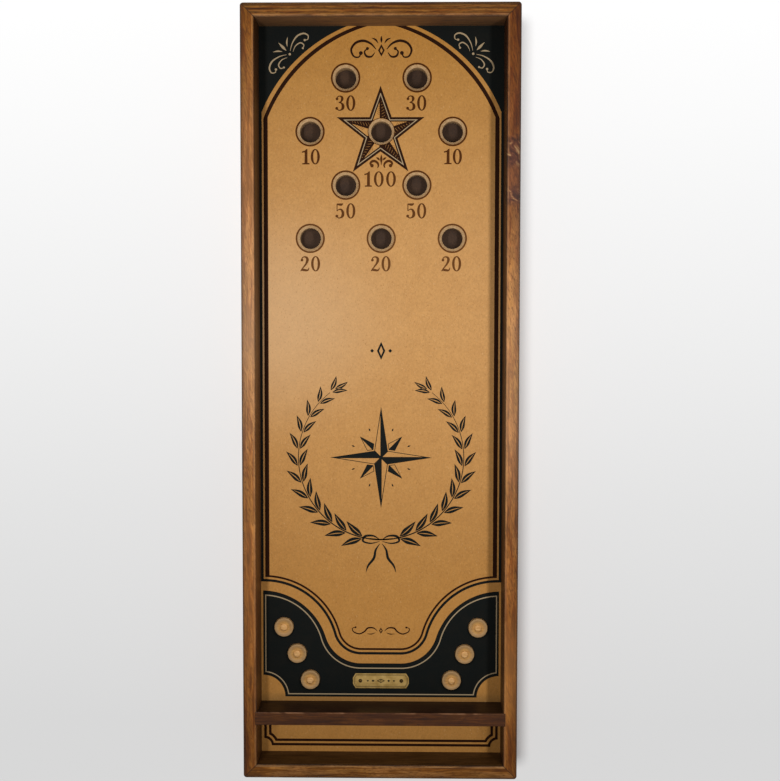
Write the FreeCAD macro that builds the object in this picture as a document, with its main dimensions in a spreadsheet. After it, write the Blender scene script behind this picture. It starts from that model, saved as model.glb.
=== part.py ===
"""Bagatelle board: a shallow tray of mitred rails round a drilled playing panel.

The board lies flat. X runs across it, Y up it towards the far end and Z up.
The origin is on the table, under the middle of the board. Sizes are in millimetres.
"""
import FreeCAD, Part
import math
import os
import Sketcher

Vector = FreeCAD.Vector

# ---------------------------------------------------------------- driving sizes
SIZES = [
    ("board_length", 1000, "outside length of the tray"),
    ("board_width", 357, "outside width of the tray"),
    ("rail_thickness", 18, "thickness of the boards that the rails are cut from"),
    ("rail_height", 75, "height of the rails"),
    ("corner_radius", 4, "rounding of the tray's four upright corners"),
    ("arris_radius", 1.5, "rounding of the rails' top edges"),
    ("play_depth", 50, "from the rim down to the playing surface"),
    ("panel_thickness", 19, "thickness of the drilled playing panel"),
    ("base_thickness", 3, "thickness of the hardboard under the panel"),
    ("rebate_width", 8, "how far the panel and the base reach under the rails"),
    ("fit_clearance", 0.2, "gap on each side of a part that drops into a recess"),
    ("spline_thickness", 4, "thickness of the loose tongues in the mitres"),
    ("spline_width", 14, "width of the loose tongues, across the mitre"),
    ("spline_height", 36, "height of the loose tongues"),
    ("crossbar_thickness", 17, "thickness of the bar that closes off the trough"),
    ("crossbar_arris", 1.0, "rounding of the bar's top edges"),
    ("trough_width", 52, "from the bar to the near rail"),
    ("housing_depth", 3, "how far the bar's ends are let into the side rails"),
    ("dowel_diameter", 6, "dowels that pin the bar to the side rails"),
    ("dowel_length", 24, "length of those dowels"),
    ("dowel_in_rail", 8, "how much of each dowel is in the rail"),
    ("dowel_spacing", 24, "height from one dowel to the other"),
    ("hole_diameter", 27.6, "scoring holes"),
    ("hole_bevel", 3.2, "width of the bevel round a scoring hole"),
    ("column_pitch", 46.8, "from one column of scoring holes to the next"),
    ("row_pitch", 69.7, "from one row of scoring holes to the next"),
    ("first_row_inset", 66.8, "from the far rail to the first row of scoring holes"),
    ("socket_diameter", 26, "shallow sockets that the counters stand in"),
    ("socket_depth", 4, "depth of those sockets"),
    ("socket_side_inset", 30.7, "from the side rail to the middle of the nearest socket"),
    ("socket_inset", 29.6, "from the bar to the socket nearest the bar"),
    ("socket_step_out", 17.6, "from one socket to the next, across the board"),
    ("socket_step_up", 35.6, "from one socket to the next, up the board"),
    ("counter_diameter", 25, "turned playing counters"),
    ("counter_thickness", 9, "thickness of a counter"),
    ("counter_arris", 0.8, "rounding of a counter's outer edges"),
    ("counter_rim", 2.6, "width of the raised rim round a counter"),
    ("dish_depth", 1.6, "depth of the dished ring inside that rim"),
    ("dish_slope", 1.2, "width of the dished ring's slope"),
    ("knob_diameter", 9, "round head of the peg in the middle of a counter"),
    ("knob_height", 3.0, "how far that head stands above the dished ring"),
    ("knob_rounding", 2.6, "rounding of that head"),
    ("knob_shank", 4.5, "shank of the peg"),
    ("knob_shank_length", 6, "how deep the shank goes into the counter"),
    ("plate_length", 75, "brass name plate"),
    ("plate_width", 20, "width of the name plate"),
    ("plate_thickness", 0.8, "thickness of the name plate"),
    ("plate_clip_along", 3.6, "length of the plate's clipped corners, along it"),
    ("plate_clip_across", 6.0, "length of the plate's clipped corners, across it"),
    ("plate_inset", 28, "from the bar to the middle of the name plate"),
    ("pin_spacing", 55, "from one of the plate's pins to the other"),
    ("pin_head", 3.6, "head of a plate pin"),
    ("pin_head_height", 1.2, "height of a pin's head"),
    ("pin_shank", 1.6, "shank of a plate pin"),
    ("pin_length", 8, "length of a pin's shank"),
    ("pin_clearance", 0.05, "gap round a pin or a screw in its hole"),
    ("screw_inset", 20, "from the edge of the base to the middle of a screw"),
    ("screw_shank", 3, "shank of the screws that hold the base to the panel"),
    ("screw_head", 6, "countersunk head of those screws"),
    ("screw_length", 14, "length of those screws"),
]
SCREWS_PER_SIDE = 6
COUNTERS_PER_SIDE = 3
# Scoring holes, one row at a time from the far end: places in columns from the middle.
HOLE_ROWS = [(-1, 1), (-2, 0, 2), (-1, 1), (-2, 0, 2)]

doc = FreeCAD.newDocument("BagatelleBoard")
sheet = doc.addObject("Spreadsheet::Sheet", "Sizes")
for line, (alias, value, meaning) in enumerate(SIZES, start=1):
    sheet.set(f"A{line}", alias)
    sheet.set(f"B{line}", str(value))
    sheet.set(f"C{line}", meaning)
    sheet.setAlias(f"B{line}", alias)
doc.recompute()


def size(alias):
    """The expression that reads one size from the sheet."""
    return f"Sizes.{alias}"


def number(expression):
    """The present value of an expression in sizes."""
    return float(sheet.evalExpression(str(expression)))


# ------------------------------------------------- levels and places that follow
PANEL_TOP = f"({size('rail_height')} - {size('play_depth')})"
BASE_TOP = f"({PANEL_TOP} - {size('panel_thickness')})"
BASE_BOTTOM = f"({BASE_TOP} - {size('base_thickness')})"
INSIDE_X = f"({size('board_width')} / 2 - {size('rail_thickness')})"
INSIDE_Y = f"({size('board_length')} / 2 - {size('rail_thickness')})"
PANEL_X = f"({INSIDE_X} + {size('rebate_width')} - {size('fit_clearance')})"
PANEL_Y = f"({INSIDE_Y} + {size('rebate_width')} - {size('fit_clearance')})"
BAR_NEAR_Y = f"({size('trough_width')} - {INSIDE_Y})"
BAR_MIDDLE_Y = f"({BAR_NEAR_Y} + {size('crossbar_thickness')} / 2)"
BAR_FAR_Y = f"({BAR_NEAR_Y} + {size('crossbar_thickness')})"
BAR_X = f"({INSIDE_X} + {size('housing_depth')} - {size('fit_clearance')})"
SPLINE_BOTTOM = f"({PANEL_TOP} + ({size('play_depth')} - {size('spline_height')}) / 2)"
DOWEL_MIDDLE_Z = f"({PANEL_TOP} + {size('play_depth')} / 2)"
SOCKET_FLOOR = f"({PANEL_TOP} - {size('socket_depth')})"
PLATE_Y = f"({BAR_FAR_Y} + {size('plate_inset')})"
SCREW_X = f"({PANEL_X} - {size('screw_inset')})"
SCREW_Y = f"({PANEL_Y} - {size('screw_inset')})"


def hole_places():
    """Every scoring hole's middle, as a pair of expressions."""
    places = []
    for row, columns in enumerate(HOLE_ROWS):
        y = f"{INSIDE_Y} - {size('first_row_inset')} - {row} * {size('row_pitch')}"
        for column in columns:
            places.append((f"{column} * {size('column_pitch')}", y))
    return places


def socket_places():
    """Every counter's middle: the left side from the bar upwards, then the right."""
    places = []
    for side in (-1, 1):
        for step in range(COUNTERS_PER_SIDE):
            steps_in = COUNTERS_PER_SIDE - 1 - step
            in_from_rail = f"{size('socket_side_inset')} + {steps_in} * {size('socket_step_out')}"
            up = f"{size('socket_inset')} + {step} * {size('socket_step_up')}"
            places.append((f"{side} * ({INSIDE_X} - ({in_from_rail}))", f"{BAR_FAR_Y} + {up}"))
    return places


def screw_places():
    """The base screws: a row along each side and one at the middle of each end."""
    places = []
    for side in (-1, 1):
        for place in range(SCREWS_PER_SIDE):
            share = 2 * place / (SCREWS_PER_SIDE - 1) - 1
            places.append((f"{side} * {SCREW_X}", f"{share} * {SCREW_Y}"))
        places.append(("0", f"{side} * {SCREW_Y}"))
    return places


def pin_places():
    """The two pins of the name plate."""
    return [(f"{side} * {size('pin_spacing')} / 2", PLATE_Y) for side in (-1, 1)]


# --------------------------------------------------------------- drawing helpers
def new_body(label):
    body = doc.addObject("PartDesign::Body", label)
    body.Label = label
    return body


def new_sketch(body, name, role, level="0"):
    """A sketch on one of the body's own planes, level above it along its normal."""
    plane = next(f for f in body.Origin.OriginFeatures if f.Role == role)
    sketch = body.newObject("Sketcher::SketchObject", name)
    sketch.AttachmentSupport = (plane, [""])
    sketch.MapMode = "FlatFace"
    sketch.setExpression("AttachmentOffset.Base.z", level)
    return sketch


def hold(sketch, geometry, point, place):
    """Ties a point of the sketch to a pair of expressions."""
    for kind, expression in zip(("DistanceX", "DistanceY"), place):
        rule = Sketcher.Constraint(kind, -1, 1, geometry, point, number(expression))
        index = sketch.addConstraint(rule)
        sketch.setExpression(f"Constraints[{index}]", expression)


def add_outline(sketch, corners):
    """Straight lines round the corners, each a pair of expressions."""
    first = sketch.GeometryCount
    count = len(corners)
    points = [Vector(number(x), number(y), 0) for x, y in corners]
    for i in range(count):
        sketch.addGeometry(Part.LineSegment(points[i], points[(i + 1) % count]), False)
    for i in range(count):
        following = first + (i + 1) % count
        sketch.addConstraint(Sketcher.Constraint("Coincident", first + i, 2, following, 1))
    for i, corner in enumerate(corners):
        hold(sketch, first + i, 1, corner)


def add_rectangle(sketch, low, high):
    add_outline(sketch, [low, (high[0], low[1]), high, (low[0], high[1])])


def add_circles(sketch, places, diameter):
    for x, y in places:
        middle = Vector(number(x), number(y), 0)
        circle = Part.Circle(middle, Vector(0, 0, 1), number(diameter) / 2)
        geometry = sketch.addGeometry(circle, False)
        rule = Sketcher.Constraint("Diameter", geometry, number(diameter))
        index = sketch.addConstraint(rule)
        sketch.setExpression(f"Constraints[{index}]", diameter)
        hold(sketch, geometry, 3, (x, y))


def pad(body, sketch, length, both_ways=False):
    feature = body.newObject("PartDesign::Pad", f"{sketch.Name}_pad")
    feature.Profile = sketch
    feature.setExpression("Length", length)
    if both_ways:
        feature.SideType = "Symmetric"
    doc.recompute()
    return feature


def pocket(body, sketch, depth=None, along_normal=False):
    """Cuts the sketch away, against its normal unless told otherwise, and checks it."""
    before = body.Shape.Volume
    feature = body.newObject("PartDesign::Pocket", f"{sketch.Name}_cut")
    feature.Profile = sketch
    feature.Reversed = along_normal
    if depth is None:
        feature.Type = "ThroughAll"
    else:
        feature.setExpression("Length", depth)
    doc.recompute()
    if not feature.Shape.Volume < before:
        raise ValueError(f"{feature.Name} cuts nothing")
    return feature


def revolve(body, sketch):
    feature = body.newObject("PartDesign::Revolution", f"{sketch.Name}_turned")
    feature.Profile = sketch
    feature.ReferenceAxis = (sketch, ["V_Axis"])
    feature.Angle = 360
    doc.recompute()
    return feature


def dress(body, kind, prop, feature, expression, wanted):
    """A Fillet or Chamfer on each edge of the feature that the test wants."""
    edges = [f"Edge{i}" for i, e in enumerate(feature.Shape.Edges, start=1) if wanted(e)]
    if not edges:
        raise ValueError(f"no edges to dress on {feature.Name}")
    finish = body.newObject(f"PartDesign::{kind}", f"{feature.Name}_{kind.lower()}")
    finish.Base = (feature, edges)
    finish.setExpression(prop, expression)
    doc.recompute()
    return finish


def same(a, b):
    return abs(a - b) < 1e-4


def flat_at(edge, level):
    """Whether the whole edge lies at one height."""
    return same(edge.BoundBox.ZMin, level) and same(edge.BoundBox.ZMax, level)


def ring_at(edge, diameter, level):
    """Whether the edge is a circle of that diameter at one height."""
    is_circle = isinstance(edge.Curve, Part.Circle)
    return is_circle and same(edge.Curve.Radius * 2, diameter) and flat_at(edge, level)


def place(body, x="0", y="0", z="0", turn=0):
    """Stands a body at three expressions, turned about Z by so many degrees."""
    body.Placement = FreeCAD.Placement(Vector(), FreeCAD.Rotation(Vector(0, 0, 1), turn))
    for axis, expression in zip("xyz", (x, y, z)):
        body.setExpression(f"Placement.Base.{axis}", expression)


# --------------------------------------------------------------------- the tray
# A rail is drawn along X with its outer face at y = 0, then turned to its side.
RAILS = {
    "near_rail": ("board_length", "board_width", 0, (0, -1)),
    "far_rail": ("board_length", "board_width", 180, (0, 1)),
    "left_rail": ("board_width", "board_length", -90, (-1, 0)),
    "right_rail": ("board_width", "board_length", 90, (1, 0)),
}


def spline_outline(middle_x, middle_y, slope, spare):
    """A tongue's plan, lying square to a mitre that runs with the given slope."""
    along = f"(({size('spline_width')} / 2 + {spare}) * {math.sqrt(0.5)})"
    across = f"(({size('spline_thickness')} / 2 + {spare}) * {math.sqrt(0.5)})"
    corners = []
    for a, b in ((-1, -1), (1, -1), (1, 1), (-1, 1)):
        x = f"{middle_x} + {a} * {along} - {b} * {across}"
        y = f"{middle_y} + {slope} * ({a} * {along} + {b} * {across})"
        corners.append((x, y))
    return corners


def make_rail(label):
    across, along, turn, side = RAILS[label]
    half = f"{size(along)} / 2"
    thick = size("rail_thickness")
    tall = size("rail_height")
    body = new_body(label)

    section = new_sketch(body, f"{label}_section", "YZ_Plane")
    ledge = f"{thick} - {size('rebate_width')}"
    corners = [("0", "0"), (ledge, "0"), (ledge, PANEL_TOP)]
    corners += [(thick, PANEL_TOP), (thick, tall), ("0", tall)]
    add_outline(section, corners)
    board = pad(body, section, size(along), both_ways=True)
    top = number(tall)
    board = dress(body, "Fillet", "Radius", board, size("corner_radius"),
                  lambda e: same(e.BoundBox.ZLength, top) and same(e.BoundBox.YMax, 0))
    dress(body, "Fillet", "Radius", board, size("arris_radius"),
          lambda e: flat_at(e, top) and e.BoundBox.XLength > number(half))

    mitres = new_sketch(body, f"{label}_mitres", "XY_Plane")
    for end in (-1, 1):
        tip = (f"{end} * {half}", "0")
        heel = (f"{end} * {half}", thick)
        inner = (f"{end} * ({half} - {thick})", thick)
        add_outline(mitres, [tip, heel, inner] if end > 0 else [tip, inner, heel])
    pocket(body, mitres, along_normal=True)

    slots = new_sketch(body, f"{label}_slots", "XY_Plane", SPLINE_BOTTOM)
    spare = f"{size('fit_clearance')} / 2"
    for end in (-1, 1):
        middle = f"{end} * ({half} - {thick} / 2)"
        add_outline(slots, spline_outline(middle, f"{thick} / 2", end, spare))
    pocket(body, slots, size("spline_height"), along_normal=True)

    if side[0]:
        house_crossbar(body, label, side[0])
    place(body, f"{side[0]} * {size(across)} / 2", f"{side[1]} * {size(across)} / 2", turn=turn)
    return body


def house_crossbar(body, label, side):
    """The upright groove in a side rail for the bar's end, with its dowel holes."""
    thick = size("rail_thickness")
    floor = f"({thick} - {size('housing_depth')})"
    middle = f"{side} * {BAR_MIDDLE_Y}"
    half_width = f"({size('crossbar_thickness')} / 2 + {size('fit_clearance')})"
    groove = new_sketch(body, f"{label}_housing", "XY_Plane", PANEL_TOP)
    low = (f"{middle} - {half_width}", floor)
    high = (f"{middle} + {half_width}", thick)
    add_rectangle(groove, low, high)
    pocket(body, groove, along_normal=True)

    holes = new_sketch(body, f"{label}_dowel_holes", "XZ_Plane", f"-{floor}")
    places = [(middle, z) for z in dowel_levels()]
    add_circles(holes, places, f"{size('dowel_diameter')}")
    pocket(body, holes, size("dowel_in_rail"), along_normal=True)


def dowel_levels():
    return [f"{DOWEL_MIDDLE_Z} + {k} * {size('dowel_spacing')} / 2" for k in (-1, 1)]


def make_spline(label, side_x, side_y):
    """A loose tongue that keys two rails together across their mitre."""
    body = new_body(label)
    plan = new_sketch(body, f"{label}_plan", "XY_Plane", SPLINE_BOTTOM)
    add_outline(plan, spline_outline("0", "0", -side_x * side_y, "0"))
    pad(body, plan, size("spline_height"))
    half_thick = f"{size('rail_thickness')} / 2"
    x = f"{side_x} * ({size('board_width')} / 2 - {half_thick})"
    y = f"{side_y} * ({size('board_length')} / 2 - {half_thick})"
    place(body, x, y)
    return body


# --------------------------------------------------------- panel, base, crossbar
def make_panel():
    """The printed board that the counters slide on, drilled for ten scoring holes."""
    body = new_body("playing_panel")
    plan = new_sketch(body, "panel_plan", "XY_Plane", BASE_TOP)
    add_rectangle(plan, (f"-{PANEL_X}", f"-{PANEL_Y}"), (PANEL_X, PANEL_Y))
    pad(body, plan, size("panel_thickness"))

    holes = new_sketch(body, "scoring_holes", "XY_Plane", PANEL_TOP)
    add_circles(holes, hole_places(), size("hole_diameter"))
    drilled = pocket(body, holes)
    bore = number(size("hole_diameter"))
    top = number(PANEL_TOP)
    dress(body, "Chamfer", "Size", drilled, size("hole_bevel"),
          lambda e: ring_at(e, bore, top))

    sockets = new_sketch(body, "counter_sockets", "XY_Plane", PANEL_TOP)
    add_circles(sockets, socket_places(), size("socket_diameter"))
    pocket(body, sockets, size("socket_depth"))

    pin_holes = new_sketch(body, "pin_holes", "XY_Plane", PANEL_TOP)
    add_circles(pin_holes, pin_places(), f"{size('pin_shank')} + 2 * {size('pin_clearance')}")
    pocket(body, pin_holes, f"{size('pin_length')} - {size('plate_thickness')}")

    pilots = new_sketch(body, "screw_pilots", "XY_Plane", BASE_TOP)
    add_circles(pilots, screw_places(), f"{size('screw_shank')} + 2 * {size('pin_clearance')}")
    pocket(body, pilots, f"{size('screw_length')} - {size('base_thickness')}", along_normal=True)
    return body


def make_base():
    """The dark hardboard under the panel: the floor of every scoring hole."""
    body = new_body("base_panel")
    plan = new_sketch(body, "base_plan", "XY_Plane", BASE_BOTTOM)
    add_rectangle(plan, (f"-{PANEL_X}", f"-{PANEL_Y}"), (PANEL_X, PANEL_Y))
    pad(body, plan, size("base_thickness"))

    hole = f"({size('screw_shank')} + 2 * {size('pin_clearance')})"
    holes = new_sketch(body, "base_screw_holes", "XY_Plane", BASE_BOTTOM)
    add_circles(holes, screw_places(), hole)
    drilled = pocket(body, holes, along_normal=True)
    bottom = number(BASE_BOTTOM)
    dress(body, "Chamfer", "Size", drilled, f"({size('screw_head')} - {size('screw_shank')}) / 2",
          lambda e: ring_at(e, number(hole), bottom))
    return body


def make_crossbar():
    """The bar across the near end, level with the rim, that closes off the trough."""
    body = new_body("crossbar")
    plan = new_sketch(body, "crossbar_plan", "XY_Plane", PANEL_TOP)
    add_rectangle(plan, (f"-{BAR_X}", BAR_NEAR_Y), (BAR_X, BAR_FAR_Y))
    bar = pad(body, plan, size("play_depth"))
    top = number(size("rail_height"))
    long_edge = 2 * number(BAR_X) - 1e-3
    dress(body, "Fillet", "Radius", bar, size("crossbar_arris"),
          lambda e: flat_at(e, top) and e.BoundBox.XLength > long_edge)

    depth = f"{size('dowel_length')} - {size('dowel_in_rail')} - {size('fit_clearance')}"
    for side, name in ((-1, "left"), (1, "right")):
        holes = new_sketch(body, f"{name}_bar_dowel_holes", "YZ_Plane", f"{side} * {BAR_X}")
        places = [(BAR_MIDDLE_Y, z) for z in dowel_levels()]
        add_circles(holes, places, size("dowel_diameter"))
        pocket(body, holes, depth, along_normal=side < 0)
    return body


def make_dowels():
    """Four dowels, two in each end of the crossbar."""
    dowels = []
    outer_end = f"({INSIDE_X} + {size('housing_depth')} + {size('dowel_in_rail')})"
    for side, start in ((-1, f"-{outer_end}"), (1, f"{outer_end} - {size('dowel_length')}")):
        for level, z in enumerate(dowel_levels()):
            dowel = doc.addObject("Part::Cylinder", f"dowel_{level}_{'left' if side < 0 else 'right'}")
            dowel.setExpression("Radius", f"{size('dowel_diameter')} / 2")
            dowel.setExpression("Height", size("dowel_length"))
            dowel.Placement = FreeCAD.Placement(Vector(), FreeCAD.Rotation(Vector(0, 1, 0), 90))
            for axis, expression in zip("xyz", (start, BAR_MIDDLE_Y, z)):
                dowel.setExpression(f"Placement.Base.{axis}", expression)
            dowels.append(dowel)
    return group("crossbar_dowels", dowels)


def group(label, members):
    """Several like pieces in one node, each its own solid."""
    compound = doc.addObject("Part::Compound", label)
    compound.Label = label
    compound.Links = members
    return compound


# ----------------------------------------------------------------- the counters
def make_counter(label, where):
    """A turned counter: a raised rim, a dished ring and a bored middle for the peg."""
    body = new_body(label)
    profile = new_sketch(body, f"{label}_profile", "XZ_Plane")
    bore = f"({size('knob_shank')} / 2)"
    radius = f"({size('counter_diameter')} / 2)"
    thick = size("counter_thickness")
    dish = f"({thick} - {size('dish_depth')})"
    rim = f"({radius} - {size('counter_rim')})"
    bore_floor = f"({dish} - {size('knob_shank_length')})"
    corners = [("0", "0"), (radius, "0"), (radius, thick), (rim, thick)]
    corners += [(f"{rim} - {size('dish_slope')}", dish), (bore, dish)]
    corners += [(bore, bore_floor), ("0", bore_floor)]
    add_outline(profile, corners)
    disc = revolve(body, profile)
    outer = number(size("counter_diameter"))
    top = number(thick)
    dress(body, "Fillet", "Radius", disc, size("counter_arris"),
          lambda e: ring_at(e, outer, 0) or ring_at(e, outer, top))
    place(body, where[0], where[1], SOCKET_FLOOR)
    return body


def make_knob(label, where):
    """The peg in the middle of a counter, with a domed head to lift it by."""
    body = new_body(label)
    profile = new_sketch(body, f"{label}_profile", "XZ_Plane")
    shank = f"({size('knob_shank')} / 2)"
    head = f"({size('knob_diameter')} / 2)"
    dish = f"({size('counter_thickness')} - {size('dish_depth')})"
    tip = f"({dish} - {size('knob_shank_length')})"
    crown = f"({dish} + {size('knob_height')})"
    corners = [("0", tip), (shank, tip), (shank, dish)]
    corners += [(head, dish), (head, crown), ("0", crown)]
    add_outline(profile, corners)
    peg = revolve(body, profile)
    diameter = number(size("knob_diameter"))
    level = number(crown)
    dress(body, "Fillet", "Radius", peg, size("knob_rounding"),
          lambda e: ring_at(e, diameter, level))
    place(body, where[0], where[1], SOCKET_FLOOR)
    return body


# ------------------------------------------------------- plate, pins and screws
def make_plate():
    """The brass plate on the black field, with clipped corners and two pin holes."""
    body = new_body("name_plate")
    plan = new_sketch(body, "plate_plan", "XY_Plane", PANEL_TOP)
    half_x = f"{size('plate_length')} / 2"
    half_y = f"{size('plate_width')} / 2"
    clip_x = f"({half_x} - {size('plate_clip_along')})"
    clip_y = f"({half_y} - {size('plate_clip_across')})"
    corners = []
    for side_x, side_y in ((1, -1), (1, 1), (-1, 1), (-1, -1)):
        on_end = (f"{side_x} * {half_x}", f"{PLATE_Y} + {side_y} * {clip_y}")
        on_edge = (f"{side_x} * {clip_x}", f"{PLATE_Y} + {side_y} * {half_y}")
        corners += [on_edge, on_end] if side_x * side_y < 0 else [on_end, on_edge]
    add_outline(plan, corners)
    pad(body, plan, size("plate_thickness"))

    holes = new_sketch(body, "plate_holes", "XY_Plane", PANEL_TOP)
    add_circles(holes, pin_places(), f"{size('pin_shank')} + 2 * {size('pin_clearance')}")
    pocket(body, holes, along_normal=True)
    return body


def make_copies(label, master, places):
    """A node of separate solids, each the master's shape moved to its own place."""
    node = doc.addObject("Part::Feature", label)
    node.Label = label
    moved = [master.Shape.translated(Vector(number(x), number(y), 0)) for x, y in places]
    node.Shape = Part.makeCompound(moved)
    return node


def make_pins():
    """Two round-headed brass pins through the name plate."""
    body = new_body("pin_master")
    profile = new_sketch(body, "pin_profile", "XZ_Plane")
    shank = f"{size('pin_shank')} / 2"
    head = f"{size('pin_head')} / 2"
    seat = f"({PANEL_TOP} + {size('plate_thickness')})"
    tip = f"({seat} - {size('pin_length')})"
    crown = f"({seat} + {size('pin_head_height')})"
    add_outline(profile, [("0", tip), (shank, tip), (shank, seat), (head, seat),
                          (head, crown), ("0", crown)])
    pin = revolve(body, profile)
    diameter = number(size("pin_head"))
    level = number(crown)
    dress(body, "Fillet", "Radius", pin, f"{size('pin_head_height')} * 0.8",
          lambda e: ring_at(e, diameter, level))
    return make_copies("plate_pins", body, pin_places())


def make_screws():
    """Countersunk screws that hold the base up against the panel."""
    body = new_body("screw_master")
    profile = new_sketch(body, "screw_profile", "XZ_Plane")
    shank = f"{size('screw_shank')} / 2"
    head = f"{size('screw_head')} / 2"
    cone = f"({BASE_BOTTOM} + ({size('screw_head')} - {size('screw_shank')}) / 2)"
    tip = f"({BASE_BOTTOM} + {size('screw_length')})"
    add_outline(profile, [("0", BASE_BOTTOM), (head, BASE_BOTTOM), (shank, cone),
                          (shank, tip), ("0", tip)])
    revolve(body, profile)
    return make_copies("base_screws", body, screw_places())


# ------------------------------------------------------------------ build it all
parts = [make_rail(label) for label in RAILS]
for side_y, end in ((1, "far"), (-1, "near")):
    for side_x, hand in ((-1, "left"), (1, "right")):
        parts.append(make_spline(f"{end}_{hand}_spline", side_x, side_y))
parts += [make_panel(), make_base(), make_crossbar(), make_dowels()]
for count, where in enumerate(socket_places(), start=1):
    parts.append(make_counter(f"counter_disc_{count}", where))
    parts.append(make_knob(f"counter_knob_{count}", where))
parts += [make_plate(), make_pins(), make_screws()]
doc.recompute()

# -------------------------------------------------------------- check and export
for thing in doc.Objects:
    if "Invalid" in thing.State or "Error" in thing.State:
        raise ValueError(f"{thing.Name} failed: {thing.State}")
for part in parts:
    if part.Shape.isNull() or not part.Shape.isValid():
        raise ValueError(f"{part.Label} has no valid shape")

os.makedirs("parts", exist_ok=True)
for part in parts:
    part.Shape.exportStep(os.path.join("parts", f"{part.Label}.step"))
    box = part.Shape.BoundBox
    print(f"{part.Label}: {len(part.Shape.Solids)} solid(s), {part.Shape.Volume / 1000:.2f} cm3, "
          f"x {box.XMin:.2f}..{box.XMax:.2f}, y {box.YMin:.2f}..{box.YMax:.2f}, "
          f"z {box.ZMin:.2f}..{box.ZMax:.2f}")
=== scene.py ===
# %% [markdown]
# # The looks of a bagatelle board
# A bagatelle board is a shallow wooden tray. Its floor is a printed fibreboard panel, drilled
# with numbered scoring holes, and small turned counters are flicked up it from the near end.
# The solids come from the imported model. This lesson gives them their wood, board and metal,
# and adds what a solid model leaves out: the print, the turned profiles and the engraving.

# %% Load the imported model
import math

import bpy
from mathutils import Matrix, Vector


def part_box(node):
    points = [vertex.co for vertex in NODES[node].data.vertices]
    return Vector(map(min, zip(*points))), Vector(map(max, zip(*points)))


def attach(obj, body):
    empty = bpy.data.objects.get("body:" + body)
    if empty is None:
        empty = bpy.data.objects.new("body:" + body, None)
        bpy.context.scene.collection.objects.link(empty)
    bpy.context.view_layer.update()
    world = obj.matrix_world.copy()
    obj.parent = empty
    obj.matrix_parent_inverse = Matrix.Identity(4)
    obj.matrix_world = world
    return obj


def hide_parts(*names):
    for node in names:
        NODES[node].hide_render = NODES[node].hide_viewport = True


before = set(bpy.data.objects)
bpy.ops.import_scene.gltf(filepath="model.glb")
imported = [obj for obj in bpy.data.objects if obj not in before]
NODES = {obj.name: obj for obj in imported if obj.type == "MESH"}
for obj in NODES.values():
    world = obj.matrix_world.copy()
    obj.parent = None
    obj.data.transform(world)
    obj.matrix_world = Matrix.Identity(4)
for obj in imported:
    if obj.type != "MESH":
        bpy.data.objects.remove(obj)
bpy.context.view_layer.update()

MM = 0.001

# %% [markdown]
# ## Small tools
# Every operator works on what is selected, and loading leaves the whole model selected, so one
# tool selects a single object. One turns a hex colour, as a paint chart gives it, into the linear
# numbers that the renderer wants. One adds a node with its settings and links to the material
# on the bench. The others put a few such nodes together for what comes up in every material.

# %% Selecting, colours and nodes
def select_only(piece):
    """Makes one object the only selected and active one."""
    if bpy.context.mode != "OBJECT":
        bpy.ops.object.mode_set(mode="OBJECT")
    bpy.ops.object.select_all(action="DESELECT")
    piece.select_set(True)
    bpy.context.view_layer.objects.active = piece


def settle(piece):
    """Applies an object's place, turn and scale to its mesh."""
    select_only(piece)
    bpy.ops.object.transform_apply(location=True, rotation=True, scale=True)


def colour(code):
    """An sRGB hex colour as linear red, green, blue and alpha."""
    channels = [int(code[i:i + 2], 16) / 255 for i in (0, 2, 4)]
    linear = [c / 12.92 if c <= 0.04045 else ((c + 0.055) / 1.055) ** 2.4 for c in channels]
    return (*linear, 1.0)


def feed(node, inputs):
    """Gives inputs, in their order or by name, a value, a colour by its hex code, or a link.

    A link may be a socket, or a node, which stands for its first output in use.
    """
    for socket, value in inputs.items() if isinstance(inputs, dict) else enumerate(inputs):
        if isinstance(value, str):
            value = colour(value)
        elif isinstance(value, bpy.types.Node):
            value = next(output for output in value.outputs if output.enabled)
        if isinstance(value, bpy.types.NodeSocket):
            node.id_data.links.new(value, node.inputs[socket])
        else:
            node.inputs[socket].default_value = value


BENCH = {}      # "tree" is the node tree of the material being made


def add_node(kind, inputs=(), stops=(), **settings):
    """Adds a node, makes its settings, feeds its inputs and sets the stops of its ramp."""
    node = BENCH["tree"].nodes.new(f"ShaderNode{kind}")
    for name, value in settings.items():
        setattr(node, name, value)
    feed(node, inputs)
    for index, (place, code) in enumerate(stops):
        elements = node.color_ramp.elements
        if index == len(elements):
            elements.new(1.0)
        elements[index].position = place
        elements[index].color = colour(code)
    return node


# %% Places, patterns and tones
def axes():
    """Where a point lies in object space, along each axis."""
    return add_node("SeparateXYZ", [add_node("TexCoord").outputs["Object"]]).outputs


def gap(a, b):
    """How far two values are apart."""
    difference = add_node("Math", [a, b], operation="SUBTRACT")
    return add_node("Math", [difference], operation="ABSOLUTE")


def noise(sizes, detail=2.0, distortion=0.0, shift=0.0, lean=0.0):
    """Noise in object space whose grains measure three sizes in mm and lean by some degrees."""
    stretched = add_node("Mapping", {
        "Vector": add_node("TexCoord").outputs["Object"],
        "Scale": [size * MM for size in sizes],
        "Location": (shift * 0.1, shift * 0.17, shift * 0.06),
        "Rotation": (0, 0, math.radians(lean))}, vector_type="TEXTURE")
    return add_node("TexNoise", {"Vector": stretched, "Scale": 1.0, "Detail": detail,
                                 "Distortion": distortion})


def tint(base, tone):
    """A colour made darker or lighter by a grey tone, where 1 leaves it as it is."""
    grey = add_node("CombineColor", [tone, tone, tone])
    return add_node("Mix", {0: 1.0, 6: base, 7: grey}, data_type="RGBA", blend_type="MULTIPLY")


def shade_ends(base, far_code, near_code):
    """Painted shade: a colour deepened by one other at the far end and by one at the near end."""
    along = axes()["Y"]
    for start, end, code in ((200, 482, far_code), (80, -280, near_code)):
        share = add_node("MapRange", [along, start * MM, end * MM])
        base = add_node("Mix", {0: share, 6: base, 7: code}, data_type="RGBA",
                        blend_type="MULTIPLY")
    return base


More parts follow.
